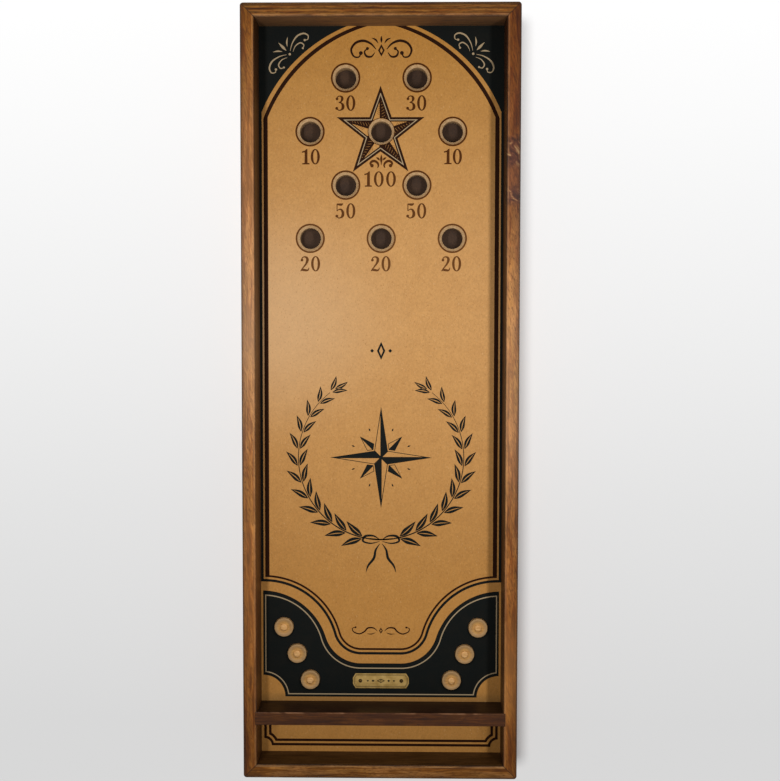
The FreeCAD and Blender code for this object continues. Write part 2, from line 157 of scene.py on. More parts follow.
def tone_and_light_spot(base, centre, radii, code, amount):
    """Fades a colour towards another round a place, in mm; for tone and for painted light."""
    reach = add_node("Mapping", {
        "Vector": add_node("TexCoord").outputs["Object"],
        "Location": (centre[0] * MM, centre[1] * MM, 0),
        "Scale": (radii[0] * MM, radii[1] * MM, 1)}, vector_type="TEXTURE")
    far_off = add_node("VectorMath", [reach], operation="LENGTH").outputs["Value"]
    share = add_node("MapRange", [far_off, 1.0, 0.15, 0.0, amount],
                     interpolation_type="SMOOTHSTEP")
    return add_node("Mix", {0: share, 6: base, 7: code}, data_type="RGBA")


# %% Starting and finishing a material
def start_material(name, rough, metallic=0.0, ior=1.5, specular=0.5):
    """A new material with one Principled shader, and its constant values set on its sockets."""
    material = bpy.data.materials.new(name)
    material.use_nodes = True
    BENCH["tree"] = material.node_tree
    shader = material.node_tree.nodes["Principled BSDF"]
    feed(shader, {"Roughness": rough, "Metallic": metallic, "IOR": ior,
                  "Specular IOR Level": specular})
    return material, shader


def dress(shader, base, height, strength, depth):
    """Gives the shader its colour, and bumps that follow a height, their depth in mm."""
    bump = add_node("Bump", {"Strength": strength, "Distance": depth * MM, "Height": height})
    feed(shader, {"Base Color": base, "Normal": bump})


def finish_node(name, material):
    """Gives every material slot of a solid the finished material."""
    for index in range(len(NODES[name].data.materials)):
        NODES[name].data.materials[index] = material


# %% [markdown]
# ## The camera
# The board is looked at from straight above, with the lens a little above its middle and a
# touch to the right. The lens sees about 36 degrees, so the inner walls of the tray show.

# %% Camera
FRAME_PIXELS, FOCAL_PIXELS = 781, 1208.95
SENSOR_WIDTH = 36
CAMERA_PLACE = (38.33, 90.14, 1626.01)                  # mm
CAMERA_TURN = (-0.052861, 0.016561, 0.001197)           # radians

bpy.ops.object.select_all(action="DESELECT")
bpy.ops.object.camera_add(location=[v * MM for v in CAMERA_PLACE])
camera = bpy.context.object
camera.name = "camera"
camera.rotation_mode = "ZXY"
camera.rotation_euler = CAMERA_TURN
camera.data.sensor_width = SENSOR_WIDTH
camera.data.lens = FOCAL_PIXELS * SENSOR_WIDTH / FRAME_PIXELS
bpy.context.scene.camera = camera
bpy.context.scene.view_settings.view_transform = "Standard"
print(f"lens {camera.data.lens:.2f} mm")

# %% [markdown]
# ## The floor and the room
# The board lies on a seamless pale sheet that is lighter towards the far end. The sheet is a
# plane. What the camera sees of it is lifted by a little glow, so it comes out near white while
# it still takes the board's shadow; every other ray sees a plain pale sheet.

# %% Floor
def seen_ray():
    """1 for the rays that bring the camera its picture, and 0 for those that carry light."""
    rays = add_node("LightPath").outputs
    seen = add_node("Math", [rays["Is Camera Ray"], rays["Is Glossy Ray"]], operation="MAXIMUM")
    return add_node("Math", [seen, rays["Is Transmission Ray"]], operation="MAXIMUM")


FLOOR_SIZE, FLOOR_DEPTH = 24, -0.2 * MM     # it lies just under the board, so no faces meet
bpy.ops.mesh.primitive_plane_add(size=FLOOR_SIZE, location=(0, 0, FLOOR_DEPTH))
floor = bpy.context.object
floor.name = "floor"

sheet, shader = start_material("paper_sheet_matt", 0.9, ior=1.45)
feed(shader, {"Base Color": "E6E6E6"})
along = add_node("MapRange", [axes()["Y"], -0.53, 0.53])
glow = add_node("ValToRGB", [along], [
    (0.0, "7C7C7C"), (0.08, "7D7D7D"), (0.35, "929292"), (0.62, "A9A9A9"), (0.84, "B8B8B8"),
    (1.0, "C0C0C0")])
lit = add_node("BsdfDiffuse", ["BABABA"])
shine = add_node("Emission", [glow, 1.0])
seen = add_node("AddShader", [lit, shine])
both = add_node("MixShader", [seen_ray(), shader, seen])
feed(sheet.node_tree.nodes["Material Output"], {"Surface": both})
floor.data.materials.append(sheet)

# %% [markdown]
# ## The lamps
# Flat things are lit from both sides, so that neither side's shadow hides the print. Two long
# narrow softboxes stand to the left and the right. They are long along the board, which leaves
# no hard shadow from its ends, and narrow across it, which draws a shadow along each side
# rail. They leave out the floor, and one sun from the upper left gives the floor its shadow.
# The crossbar doesn't block them, so the trough and the black panel beside it stay lit.

# %% Lamps and world
STRIP_WIDTH, STRIP_LENGTH = 0.06, 0.50


def link_light(lamp, group_kind, piece, state):
    """Lets a lamp light or be blocked by one object only, or by all but that one."""
    group = bpy.data.collections.new(f"{lamp.name} {group_kind}")
    group.objects.link(piece)
    group.collection_objects[0].light_linking.link_state = state
    setattr(lamp.light_linking, group_kind, group)


def add_strip(name, spot, power):
    """A softbox at a place in mm over the board, turned to face its middle line."""
    bpy.ops.object.select_all(action="DESELECT")
    bpy.ops.object.light_add(type="AREA", location=[v * MM for v in spot])
    lamp = bpy.context.object
    lamp.name = name
    lamp.data.shape = "RECTANGLE"
    lamp.data.size = STRIP_WIDTH
    lamp.data.size_y = STRIP_LENGTH
    lamp.data.energy = power
    lamp.rotation_euler = (0, math.atan2(spot[0], spot[2]), 0)
    lamp.visible_camera = False
    link_light(lamp, "receiver_collection", floor, "EXCLUDE")
    link_light(lamp, "blocker_collection", NODES["crossbar"], "EXCLUDE")


add_strip("left_strip", (-288, 128, 715), 2.78)
add_strip("right_strip", (400, 96, 715), 3.28)

bpy.ops.object.light_add(type="SUN", location=(-0.5, 0.5, 2))
sun = bpy.context.object
sun.name = "floor_sun"
sun.data.energy = 0.85 * math.pi
sun.data.angle = math.radians(17)
sun.rotation_euler = (math.radians(-3), math.radians(-10.5), 0)
link_light(sun, "receiver_collection", floor, "INCLUDE")

world = bpy.data.worlds.new("studio")
world.use_nodes = True
bpy.context.scene.world = world
BENCH["tree"] = world.node_tree
strength = add_node("MapRange", [seen_ray(), 0.0, 1.0, 0.15, 0.9])
feed(world.node_tree.nodes["Background"], {"Color": (1, 1, 1, 1), "Strength": strength})
print("two strips, one sun for the floor, soft room light")

# %% [markdown]
# ## Stained ash for the rails
# The rails are a coarse, open-grained wood such as ash, stained brown and waxed. Stain gathers
# in the soft early wood, so the grain shows as dark streaks along each rail, and rubbing leaves
# the arrises paler, with a painted highlight along the inner ones. A painted sheen lies across
# the rail tops; painted shade darkens the inner walls, both ends, and the outer edges, where
# stain taken up there adds to it. Growth streaks are 3 to 5 mm wide, pores about 1 mm. A mitre
# shows as a thin dark line where stain soaked into the end grain.

# %% Stained ash
HALF_X, HALF_Y = 178.5 * MM, 500 * MM               # the board's outer faces
INSIDE_X, INSIDE_Y = 160.5 * MM, 482 * MM           # the rails' inner walls
RIM, RAIL_WIDTH = 75 * MM, 18 * MM


def stained_ash(name, lengthwise, seed, tones, finishing):
    """Stained and waxed ash, its grain along X (lengthwise 0) or along Y (lengthwise 1)."""
    material, shader = start_material(name, 0.48, specular=0.18)

    def grain(across, along, detail, distortion, shift, lean=0):
        sizes = [across, across, across]
        sizes[lengthwise] = along
        return noise(sizes, detail, distortion, seed + shift, lean)

    growth = grain(4.6, 70, 3.0, 0.9, 0)
    lines = grain(1.8, 20, 2.0, 0.4, 7, 16 * lengthwise)
    pores = grain(1.1, 5.5, 1.0, 0.0, 13, 12 * lengthwise)
    patches = grain(14, 26, 3.0, 1.0, 19)
    bloom = grain(20, 70, 2.0, 0.8, 29)
    wood = add_node("ValToRGB", [growth], [
        (0.28, tones[0]), (0.44, tones[1]), (0.58, tones[2]), (0.76, tones[1])])
    line_tone = add_node("MapRange", [lines, 0.3, 0.7, 0.71, 1.27])
    patch_tone = add_node("MapRange", [patches, 0.3, 0.7, 0.80, 1.19])
    wood = tint(wood, add_node("Math", [line_tone, patch_tone], operation="MULTIPLY"))
    # painted shade: the wood darkens towards both ends of the board
    wood = shade_ends(wood, "DBC98E", "DCC99E")
    yellowed = add_node("MapRange", [bloom, 0.40, 0.62])
    wood = add_node("Mix", {0: yellowed, 6: wood, 7: "F8F8DC"}, data_type="RGBA",
                    blend_type="MULTIPLY")
    in_pore = add_node("MapRange", [pores, 0.43, 0.33, 0.0, 0.70])
    wood = add_node("Mix", {0: in_pore, 6: wood, 7: tones[0]}, data_type="RGBA")
    feed(shader, {"Roughness": add_node("MapRange", [lines, 0.3, 0.7, 0.54, 0.42])})
    relief = add_node("Math", [pores, lines], operation="ADD")
    dress(shader, finishing(wood, patches, tones[3]), relief, 0.25, 0.3)
    return material


def finish_rail(wood, patches, pale, wall_shade):
    """Painted shade on walls, a painted sheen, worn and highlit arrises, dark mitre lines."""
    at = axes()
    x, y = (add_node("Math", [at[axis]], operation="ABSOLUTE") for axis in "XY")
    from_side, from_end, past_x, past_y = (
        add_node("Math", values, operation="SUBTRACT")
        for values in ([HALF_X, x], [HALF_Y, y], [x, INSIDE_X], [y, INSIDE_Y]))
    outer = add_node("Math", [from_side, from_end], operation="MINIMUM")
    inner = add_node("Math", [past_x, past_y], operation="MAXIMUM")

    # painted sheen across the rail top: a brighter band a little in from the inner edge, and
    # painted shade towards the outer edge
    across = add_node("MapRange", [inner, 0.0, RAIL_WIDTH])
    painted_sheen_across = add_node("ValToRGB", [across], [
        (0.05, "E4E4E4"), (0.27, "FFFFFF"), (0.58, "EBEBEB"), (0.94, "CBCBCB")])
    high = add_node("MapRange", [at["Z"], RIM - 4 * MM, RIM - 1 * MM])
    wood = add_node("Mix", {0: high, 6: wood, 7: painted_sheen_across}, data_type="RGBA",
                    blend_type="MULTIPLY")
    # the inner arris is paler, partly worn and partly a painted highlight
    rubbed_and_highlit = add_node("MapRange", [gap(inner, 2.4 * MM), 0.2 * MM, 1.4 * MM, 0.32, 0.0])
    bare = add_node("MapRange", [patches, 0.36, 0.62, 0.35, 1.0])
    wear = add_node("Math", [rubbed_and_highlit, high], operation="MULTIPLY")
    wear = add_node("Math", [wear, bare], operation="MULTIPLY")
    wood = add_node("Mix", {0: wear, 6: wood, 7: pale}, data_type="RGBA")

    # the outer edges are darker, partly stain taken up there and partly painted shade
    soaked_and_shaded = add_node("MapRange", [outer, 0.7 * MM, 2.9 * MM, 0.72, 0.0])
    soaked_and_shaded = add_node("Math", [soaked_and_shaded, high], operation="MULTIPLY")
    wood = add_node("Mix", {0: soaked_and_shaded, 6: wood, 7: "3A2A1E"}, data_type="RGBA")
    # painted shade on the inner walls
    wood = tint(wood, add_node("MapRange", [inner, 0.5 * MM, 1.8 * MM, wall_shade, 1.0]))
    joint = add_node("MapRange", [gap(from_side, from_end), 1.1 * MM, 0.3 * MM, 0.0, 0.8])
    return add_node("Mix", {0: joint, 6: wood, 7: "24130A"}, data_type="RGBA")


def finish_near_rail(wood, patches, pale):
    """The near rail, its inner wall deep in the trough, never worn, and in the darkest painted
    shade.
    """
    return finish_rail(wood, patches, pale, 0.14)


LINE_PITCH = 4.9 * MM


def finish_lined_rail(wood, patches, pale):
    """The far rail, of straight-grained stock, with dark lines along it and a greyer inner edge.
    """
    at = axes()
    across = add_node("Math", [at["Y"], math.tau / LINE_PITCH], operation="MULTIPLY")
    wander = add_node("Math", [patches, 4.2, across], operation="MULTIPLY_ADD")
    wave = add_node("Math", [wander], operation="SINE")
    wood = tint(wood, add_node("MapRange", [wave, -0.8, 0.4, 0.52, 1.02]))
    # the inner edge turns paler and greyer
    grey_inner_edge = add_node("MapRange", [at["Y"], INSIDE_Y + 1.6 * MM, INSIDE_Y + 0.5 * MM, 0.0, 0.20])
    wood = add_node("Mix", {0: grey_inner_edge, 6: wood, 7: "94806A"}, data_type="RGBA")
    # painted shade on the far wall: darker low down and away from the middle
    off_middle = add_node("Math", [at["X"]], operation="ABSOLUTE")
    low_wall_shade = add_node("MapRange", [off_middle, 30 * MM, 100 * MM, 0.80, 0.46])
    wall = add_node("MapRange", [at["Z"], RIM - 50 * MM, RIM - 12 * MM, low_wall_shade, 0.80])
    return finish_rail(wood, patches, pale, wall)


def finish_side_rail(wood, patches, pale):
    """The side rails; the right one is darker and redder at its far end, with two knots.

    Both carry spots of another tone: each has a place and a half length in mm, its colour and
    how much of it shows.
    """
    at = axes()
    right = add_node("Math", [at["X"], 0.0], operation="GREATER_THAN")
    far = add_node("MapRange", [at["Y"], 130 * MM, 270 * MM, 0.0, 0.74])
    far_right = add_node("Math", [right, far], operation="MULTIPLY")
    redder = add_node("Mix", {0: 1.0, 6: wood, 7: "AE8A70"}, data_type="RGBA",
                      blend_type="MULTIPLY")
    wood = add_node("Mix", {0: far_right, 6: wood, 7: redder}, data_type="RGBA")
    swirl = noise((7.5, 15, 7.5), 3.0, 1.4, 31.0, 38)
    figured = add_node("ValToRGB", [swirl], [
        (0.38, "26120C"), (0.50, "5A3020"), (0.60, "8C5A38"), (0.69, "D0A672")])
    near_top = add_node("MapRange", [at["Z"], RIM - 26 * MM, RIM - 8 * MM])
    right_top = add_node("Math", [right, near_top], operation="MULTIPLY")
    for middle, reach in ((312, 20), (257, 12)):
        off = add_node("Math", [swirl, 14 * MM, gap(at["Y"], middle * MM)],
                       operation="MULTIPLY_ADD")
        knot = add_node("MapRange", [off, (reach + 10) * MM, reach * MM, 0.0, 0.85])
        knot = add_node("Math", [knot, right_top], operation="MULTIPLY")
        wood = add_node("Mix", {0: knot, 6: wood, 7: figured}, data_type="RGBA")
    for x, y, reach, code, amount in (
            (-170, 280, 190, "EAA25A", 0.20), (-170, 80, 200, "E6B482", 0.17),
            (-170, 75, 70, "E6B482", 0.14), (-170, -250, 210, "EAA25A", 0.15),
            (-170, -480, 70, "3A2210", 0.20), (170, 285, 60, "54302A", 0.28),
            (170, -10, 200, "E6B482", 0.18), (170, -360, 110, "EAA25A", 0.24)):
        wood = tone_and_light_spot(wood, (x, y), (120, reach), code, amount)
    # painted shade on the inner walls: the left one darker low down and towards the far end, the
    # right one dark throughout
    left_wall_shade = add_node("MapRange", [at["Z"], RIM - 50 * MM, RIM - 3 * MM, 0.19, 0.35])
    far_wall_shade = add_node("MapRange", [at["Y"], 80 * MM, 200 * MM, 1.0, 0.50])
    left_wall_shade = add_node("Math", [left_wall_shade, far_wall_shade], operation="MULTIPLY")
    wall = add_node("MapRange", [right, 0.0, 1.0, left_wall_shade, 0.18])
    return finish_rail(wood, patches, pale, wall)


BAR_NEAR, BAR_FAR = -428 * MM, -414 * MM


def finish_bar(wood, patches, pale):
    """The crossbar: its sides in painted shade below its top, and worn along its far arris."""
    at = axes()
    # painted shade on the bar's sides, darkest on its far side
    side = add_node("MapRange", [at["Y"], BAR_NEAR, BAR_FAR - 2 * MM, 0.5, 0.17])
    wood = tint(wood, add_node("MapRange", [at["Z"], RIM - 1.4 * MM, RIM - 0.6 * MM, side, 1.0]))
    arris = add_node("MapRange", [at["Y"], BAR_FAR - 1.2 * MM, BAR_FAR + 0.1 * MM])
    worn = add_node("MapRange", [patches, 0.50, 0.62, 0.05, 0.85])
    top = add_node("MapRange", [at["Z"], RIM - 1.2 * MM, RIM - 0.4 * MM])
    wear = add_node("Math", [arris, worn], operation="MULTIPLY")
    wear = add_node("Math", [wear, top], operation="MULTIPLY")
    return add_node("Mix", {0: wear, 6: wood, 7: pale}, data_type="RGBA")


# the darkest early wood, two tones of growth, and the worn, highlit arris of each kind of rail
for nodes, name, lengthwise, seed, tones, finishing in (
        (("left_rail", "right_rail"), "stained_ash_side_rails", 1, 9.4,
         ("623715", "995D2D", "BB814A", "D09A66"), finish_side_rail),
        (("far_rail",), "stained_ash_far_rail", 0, 3.1,
         ("623715", "9A602E", "BE8A5A", "D0A070"), finish_lined_rail),
        (("near_rail",), "stained_ash_near_rail", 0, 5.7,
         ("62370F", "9E6A34", "D09B6E", "DCB080"), finish_near_rail),
        (("crossbar",), "dark_stained_ash", 0, 21.0,
         ("3C2216", "523120", "66412B", "8E6446"), finish_bar)):
    ash = stained_ash(name, lengthwise, seed, tones, finishing)
    for node in nodes:
        finish_node(node, ash)
print("rails and crossbar stained")

# %% [markdown]
# ## Beech, hardboard and screws
# Tongues and dowels are plain beech: pale, even, with short dark flecks about 2 mm long. The
# base is oil-tempered hardboard, dark brown and felted. The screws are bright zinc on steel.

# %% Beech, hardboard and zinc
joinery_beech, shader = start_material("beech_joinery", 0.55, specular=0.35)
rings = noise((2.4, 24, 2.4), 3.0, 0.3)
flecks = noise((0.6, 2.0, 0.6), 1.0)
wood = add_node("ValToRGB", [rings], [(0.34, "B98A5A"), (0.62, "D9B285")])
in_fleck = add_node("MapRange", [flecks, 0.36, 0.28, 0.0, 0.35])
wood = add_node("Mix", {0: in_fleck, 6: wood, 7: "B98A5A"}, data_type="RGBA")
dress(shader, wood, rings, 0.15, 0.2)
for name in ("far_left_spline", "far_right_spline", "near_left_spline", "near_right_spline",
             "crossbar_dowels"):
    finish_node(name, joinery_beech)

hardboard, shader = start_material("tempered_hardboard", 0.7, specular=0.2)
felt = noise((1.4, 1.4, 1.4), 3.0)
cloud = noise((30, 30, 30), 2.0)
tone = add_node("MapRange", [add_node("Math", [felt, cloud], operation="ADD"), 0.7, 1.3])
felted = add_node("ValToRGB", [tone], [(0.1, "33241A"), (0.9, "473222")])
dress(shader, felted, felt, 0.3, 0.15)
finish_node("base_panel", hardboard)

zinc, shader = start_material("zinc_plated_steel", 0.35, metallic=1.0)
plated = add_node("ValToRGB", [noise((1.2, 1.2, 1.2))], [(0.3, "A9ABAE"), (0.7, "C9CACB")])
feed(shader, {"Base Color": plated})
finish_node("base_screws", zinc)
print("hidden joinery, base and screws finished")

# %% [markdown]
# ## The printed fibreboard
# The playing panel is high-density fibreboard with a warm brown face. Close up the face is
# full of fine flecks, 1 to 3 mm long, and it clouds a little over a few centimetres. Where a
# hole is drilled and its edge bevelled, the bare core shows, greyer and without the face's
# warmth, and painted shade darkens it deeper down. The face is known by its height: anything
# below the top surface is core. Painted shade darkens the face towards both ends, a painted
# reflection of a lamp pales it at the left, a painted pool of light brightens and warms its
# foot, and a painted shadow of the bar darkens a strip before it.

# %% Fibreboard
PANEL_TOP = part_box("playing_panel")[1].z

fibreboard, shader = start_material("printed_fibreboard", 0.55, specular=0.1)
clouds = noise((22, 22, 22), 2.0)
mottle = noise((2.6, 3.4, 2.6), 3.0, 0.5)
flecks = noise((1.2, 2.2, 1.2), 1.0, 0.6, 4.0)
face = add_node("ValToRGB", [clouds], [(0.35, "C59258"), (0.65, "C9965B")])
face = tint(face, add_node("MapRange", [mottle, 0.3, 0.7, 0.91, 1.08]))
# painted shade towards both ends of the panel
face = shade_ends(face, "F1E4B3", "F2E7C7")
# painted reflection of a lamp, paling the face at the left
face = tone_and_light_spot(face, (-170, 98), (235, 190), "DCB88E", 0.42)
# painted pool of light, brightening and warming the foot
face = tone_and_light_spot(face, (0, -365), (320, 185), "F8B05A", 0.13)
# painted shadow of the crossbar on the strip before it
face = tone_and_light_spot(face, (0, -415), (500, 19), "564A30", 0.46)
for start, end, code, amount in ((0.36, 0.27, "8A5420", 0.42), (0.66, 0.76, "E6C090", 0.32)):
    share = add_node("MapRange", [flecks, start, end, 0.0, amount])
    face = add_node("Mix", {0: share, 6: face, 7: code}, data_type="RGBA")
core = add_node("ValToRGB", [mottle], [(0.30, "AF8A5F"), (0.70, "CDAA7E")])
height = axes()["Z"]
is_face = add_node("MapRange", [height, PANEL_TOP - 0.20 * MM, PANEL_TOP - 0.05 * MM])
# painted shade deeper down the holes
hole_shade = add_node("MapRange", [height, PANEL_TOP - 17 * MM, PANEL_TOP - 3.2 * MM, 0.5, 1.0])
board = add_node("Mix", {0: is_face, 6: tint(core, hole_shade), 7: face}, data_type="RGBA")
dress(shader, board, mottle, 0.2, 0.1)
finish_node("playing_panel", fibreboard)
print(f"panel face at {PANEL_TOP / MM:.1f} mm")

# %% [markdown]
# ## The inks
# The print is screen ink: dense black for borders and ornament, two browns for the thin lines,
# the star, the rings and the numbers, and a stone colour for the fine pale lines. A board's
# flecks still show faintly through screen ink, so a few specks of the board come through.

# %% Screen inks
def screen_ink(name, code, speck, amount, field_paling=0.0):
    """Matt ink with the board's flecks showing as faint specks, a little paler mid-field."""
    material, shader = start_material(name, 0.6, ior=1.48, specular=0.05)
    fine = noise((1.2, 1.2, 1.2), 2.0)
    cloud = noise((14, 14, 14), 2.0)
    specks = add_node("MapRange", [fine, 0.54, 0.80, 0.0, amount])
    thin = add_node("MapRange", [cloud, 0.4, 0.7, 0.0, amount * 0.2])
    show = add_node("Math", [specks, thin], operation="ADD")
    inked = add_node("Mix", {0: show, 6: code, 7: speck}, data_type="RGBA")
    if field_paling:
        inked = tone_and_light_spot(inked, (0, 110), (420, 250), "B07A44", field_paling)
    dress(shader, inked, fine, 0.1, 0.05)
    return material


black_ink = screen_ink("screen_ink_black", "121514", "7A5E40", 0.05)
brown_ink = screen_ink("screen_ink_brown", "4A2406", "A0743F", 0.14, 0.18)
dark_ink = screen_ink("screen_ink_dark_brown", "271106", "7A5A40", 0.10)
stone_ink = screen_ink("screen_ink_stone", "B49D7B", "8A7452", 0.30)

# %% [markdown]
# ## Drawing a print
# A print is flat shapes, so it is drawn as flat curves: closed outlines, where an outline inside
# another one is a hole. The curve is filled, given the thickness of the ink, 0.12 mm with half of
# it sunk in the board, and made a mesh. It is drawn in millimetres, because filling a curve
# that is only a few thousandths of a unit wide loses corners, and scaled down after that.

# %% Filling outlines
INK_THICKNESS = 0.12
SAME_POINT = 1e-4       # mm, closer than which two points become one


def draw(name, outlines):
    """Fills closed outlines, given in millimetres, and makes them one flat mesh."""
    drawing = bpy.data.curves.new(name, "CURVE")
    drawing.dimensions = "2D"
    drawing.fill_mode = "BOTH"
    drawing.extrude = INK_THICKNESS / 2
    for outline in outlines:
        spline = drawing.splines.new("POLY")
        spline.points.add(len(outline) - 1)
        for point, (x, y) in zip(spline.points, outline):
            point.co = (x, y, 0, 1)
        spline.use_cyclic_u = True
    piece = bpy.data.objects.new(name, drawing)
    bpy.context.scene.collection.objects.link(piece)
    select_only(piece)
    bpy.ops.object.convert(target="MESH")
    clean(piece)
    return piece


def clean(piece):
    """Merges doubled points and turns every face outwards."""
    select_only(piece)
    bpy.ops.object.mode_set(mode="EDIT")
    bpy.ops.mesh.select_all(action="SELECT")
    bpy.ops.mesh.remove_doubles(threshold=SAME_POINT)
    bpy.ops.mesh.normals_make_consistent(inside=False)
    bpy.ops.object.mode_set(mode="OBJECT")


def lay_on_board(piece, ink, x=0.0, y=0.0, height=PANEL_TOP):
    """Scales a drawing to metres, lays it on the panel and gives it its ink."""
    piece.scale = (MM, MM, MM)
    piece.location = (x * MM, y * MM, height)
    settle(piece)
    piece.data.materials.clear()
    piece.data.materials.append(ink)
    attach(piece, "board")


def combine(piece, tool, operation):
    """Joins or cuts one drawing with another by a Boolean, and removes the second."""
    modifier = piece.modifiers.new("combine", "BOOLEAN")
    modifier.operation = operation
    modifier.solver = "EXACT"
    modifier.object = tool
    select_only(piece)
    bpy.ops.object.modifier_apply(modifier=modifier.name)
    bpy.data.objects.remove(tool)


# %% [markdown]
# ## Lines for the drawing
# Borders are arcs and straights. An arc is given by its middle, its radius and two angles. A
# brush stroke is a smooth line through a few points, each with its width; a ball at an end is
# just a stroke that swells to a circle, as in old engraved scrolls and figures.

# %% Arcs, strokes and leaves
def arc(x, y, radius, start, end, steps=24):
    """Points on an arc, its angles in degrees."""
    turn = [math.radians(start + (end - start) * i / steps) for i in range(steps + 1)]
    return [(x + radius * math.cos(a), y + radius * math.sin(a)) for a in turn]


def mirror(points):
    """The same line on the other side of the board's middle, run the other way."""
    return [(-x, y) for x, y in reversed(points)]


def smooth(points, steps=10):
    """A smooth line through points of any number of values."""
    ends = [points[0], *points, points[-1]]
    line = []
    for a, b, c, d in zip(ends, ends[1:], ends[2:], ends[3:]):
        for i in range(steps):
            t = i / steps
            line.append(tuple(
                0.5 * (2 * q + (r - p) * t + (2 * p - 5 * q + 4 * r - s) * t ** 2
                       + (3 * q - p - 3 * r + s) * t ** 3)
                for p, q, r, s in zip(a, b, c, d)))
    return [*line, tuple(points[-1])]


def stroke(points, ball_start=0.0, ball_end=0.0):
    """The outline of a brush stroke through (x, y, width) points, with a ball at either end."""
    line = smooth(points)
    for ball in (ball_start, ball_end):
        if ball:
            (x0, y0, _), (x1, y1, _) = line[0], line[1]
            length = math.dist((x0, y0), (x1, y1))
            away = ((x0 - x1) / length, (y0 - y1) / length)
            cap = [(x0 + away[0] * c, y0 + away[1] * c, 2 * s)
                   for c, s in arc(0, 0, ball, 4, 84, 5)]
            swollen, run, last = [], 0.0, (x0, y0)
            for x, y, width in line:
                run += math.dist((x, y), last)
                last = (x, y)
                swell = 2 * math.sqrt(max(ball ** 2 - run ** 2, 0))
                swollen.append((x, y, max(width, swell)))
            line = cap + swollen
        line = line[::-1]
    left, right = [], []
    for i, (x, y, width) in enumerate(line):
        (xa, ya, _), (xb, yb, _) = line[max(i - 1, 0)], line[min(i + 1, len(line) - 1)]
        length = math.dist((xa, ya), (xb, yb))
        nx, ny = (ya - yb) / length * width / 2, (xb - xa) / length * width / 2
        left.append((x + nx, y + ny))
        right.append((x - nx, y - ny))
    return left + right[::-1]


def inset(corners, distance):
    """A polygon drawn inside another, its sides a distance in; corners run anticlockwise."""
    result = []
    before, after = corners[-1:] + corners[:-1], corners[1:] + corners[:1]
    for (ax, ay), (bx, by), (cx, cy) in zip(before, corners, after):
        la, lb = math.dist((ax, ay), (bx, by)), math.dist((bx, by), (cx, cy))
        n1 = (-(by - ay) / la, (bx - ax) / la)
        n2 = (-(cy - by) / lb, (cx - bx) / lb)
        scale = distance / (1 + n1[0] * n2[0] + n1[1] * n2[1])
        result.append((bx + (n1[0] + n2[0]) * scale, by + (n1[1] + n2[1]) * scale))
    return result


# %% [markdown]
# ## Ornament for the corners
# Small scrolls and leaves are the stock ornaments of any printer's case. The corners of this
# board have a pale pair of scrolls with leaves between them. The outlines become holes in the
# black print, and stone ink fills them. They are drawn upright, then turned.

# %% Corner scrolls
def turned(points, degrees, x=0.0, y=0.0, scale=1.0):
    """Points turned about the origin, scaled, and then moved."""
    c, s = math.cos(math.radians(degrees)) * scale, math.sin(math.radians(degrees)) * scale
    return [(x + c * px - s * py, y + s * px + c * py) for px, py in points]


def lozenge(x, y, half_width, half_height):
    """A diamond about its middle."""
    return [(x + half_width, y), (x, y + half_height), (x - half_width, y),
            (x, y - half_height)]


scroll_out = stroke([(3.4, 1.0, 0.5), (12, 6.0, 1.3), (23, 8.2, 2.0), (31.5, 4.8, 2.0),
                     (34, -1.2, 1.5), (30.3, -4.6, 1.1), (26.8, -2.6, 0.9)], 0.0, 1.5)
scroll_in = stroke([(5.4, -2.2, 0.4), (12.5, 0.6, 1.2), (20.0, -0.8, 1.6), (21.5, -6.0, 1.3),
                    (17.6, -8.2, 0.9)], 0.0, 1.3)
drop = stroke([(0, 5.0, 0.4), (0, 11.0, 3.2), (0, 19.5, 0.3)])
side_drop = stroke([(4.6, 7.6, 0.3), (8.2, 12.2, 2.0), (13.6, 16.0, 0.3)])
corner_ornament = [scroll_out, mirror(scroll_out), scroll_in, mirror(scroll_in), drop,
                   side_drop, mirror(side_drop), arc(0, -1.5, 1.6, 0, 345, 23)]
CORNER_X, CORNER_Y = 121, 447
right_scrolls = [turned(loop, -45, CORNER_X, CORNER_Y) for loop in corner_ornament]
corner_scrolls = right_scrolls + [mirror(loop) for loop in right_scrolls]
print(f"{len(corner_scrolls)} outlines for the corners")

# %% [markdown]
# ## The borders
# Black corners leave a pale arch over the playing field. A pale line runs down inside each
# side and under the field in a swag: two circles that touch, so that the line swings over
# without a kink. Below it lies the black panel that the counters park on, with a fine pale
# line inside its edge and a scooped corner at each side. Every border is made of such arcs,
# and a line of some width is the space between two arcs about the same middles.

# %% Border lines
SIDE = INSIDE_X / MM + 1.5      # the print runs a little way under the rails
TOP = INSIDE_Y / MM + 1.5


def arch(x, y, radius, side):
    """The right half of an arch, from a side line up to under the far rail."""
    low = math.degrees(math.acos((side - x) / radius))
    high = math.degrees(math.asin((TOP - y) / radius))
    return arc(x, y, radius, low, high, 40)


def swag(bends, shift, side):
    """The line under the field, from the right side line to the left one."""
    x1, y1, r1, x2, y2, r2 = bends
    lean = math.degrees(math.atan2(y2 - y1, x2 - x1))
    half = arc(x1, y1, r1 + shift, 90, lean, 40)
    half += arc(x2, y2, r2 - shift, lean - 180, -90, 24)[1:]
    half = [(side, y1 + r1 + shift)] + [p for p in half if p[0] < side - 0.2]
    return half + mirror(half)


def scoop(x, y, radius, side, bottom):
    """A corner scooped out by a circle about (x, y), from the side line to the bottom line."""
    first = 180 - math.degrees(math.acos((x - side) / radius))
    last = 180 - math.degrees(math.asin((bottom - y) / radius))
    return arc(x, y, radius, first, last, 16)


